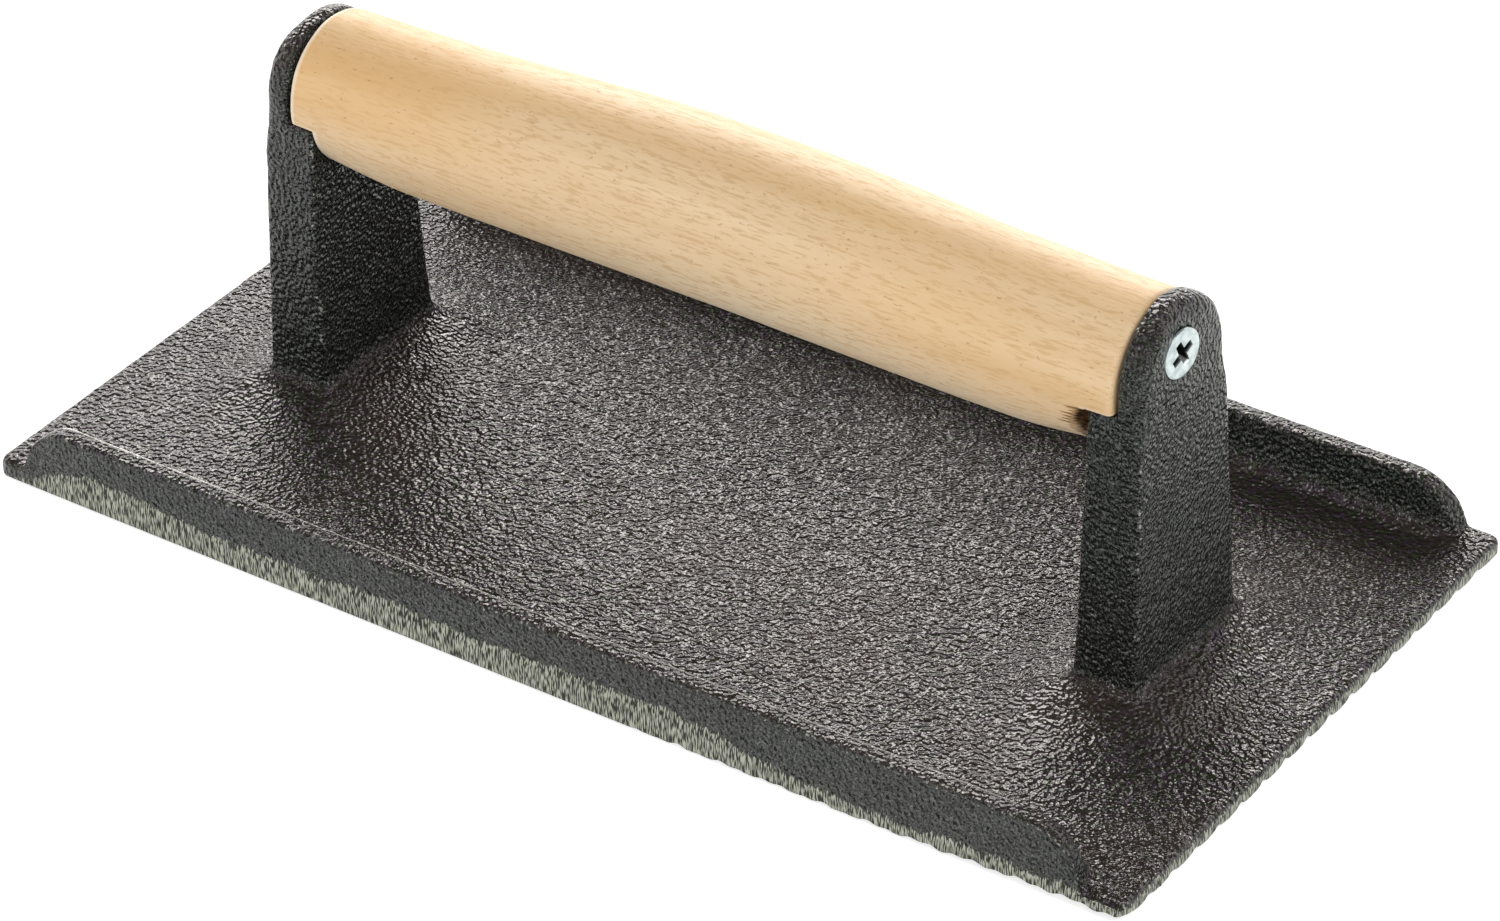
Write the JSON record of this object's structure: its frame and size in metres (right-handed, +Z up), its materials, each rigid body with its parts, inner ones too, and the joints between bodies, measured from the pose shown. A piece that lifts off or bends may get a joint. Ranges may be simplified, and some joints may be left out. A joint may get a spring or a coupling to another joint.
{
  "type": "bacon press",
  "caption": "Rectangular cast iron grill press with raised long edges, a ribbed underside and a wooden grip screwed between cast posts.",
  "frame": {"origin": "middle of the underside, at the level of the rib lands", "axes": "+X along the grip and the plate's long edges, +Y across the plate, +Z up towards the grip"},
  "size_m": [0.21, 0.11, 0.0686],
  "materials": {
    "cast_iron": "oiled sand-cast iron with a fine pebbled skin, ground bare along the lower edge",
    "maple": "sanded pale hardwood, bare or lightly oiled",
    "zinc_steel": "bright zinc plated"
  },
  "bodies": {
    "root": {"cast_body": "cast_iron", "wood_handle": "maple", "screw_left": "zinc_steel", "screw_right": "zinc_steel"}
  },
  "joints": []
}
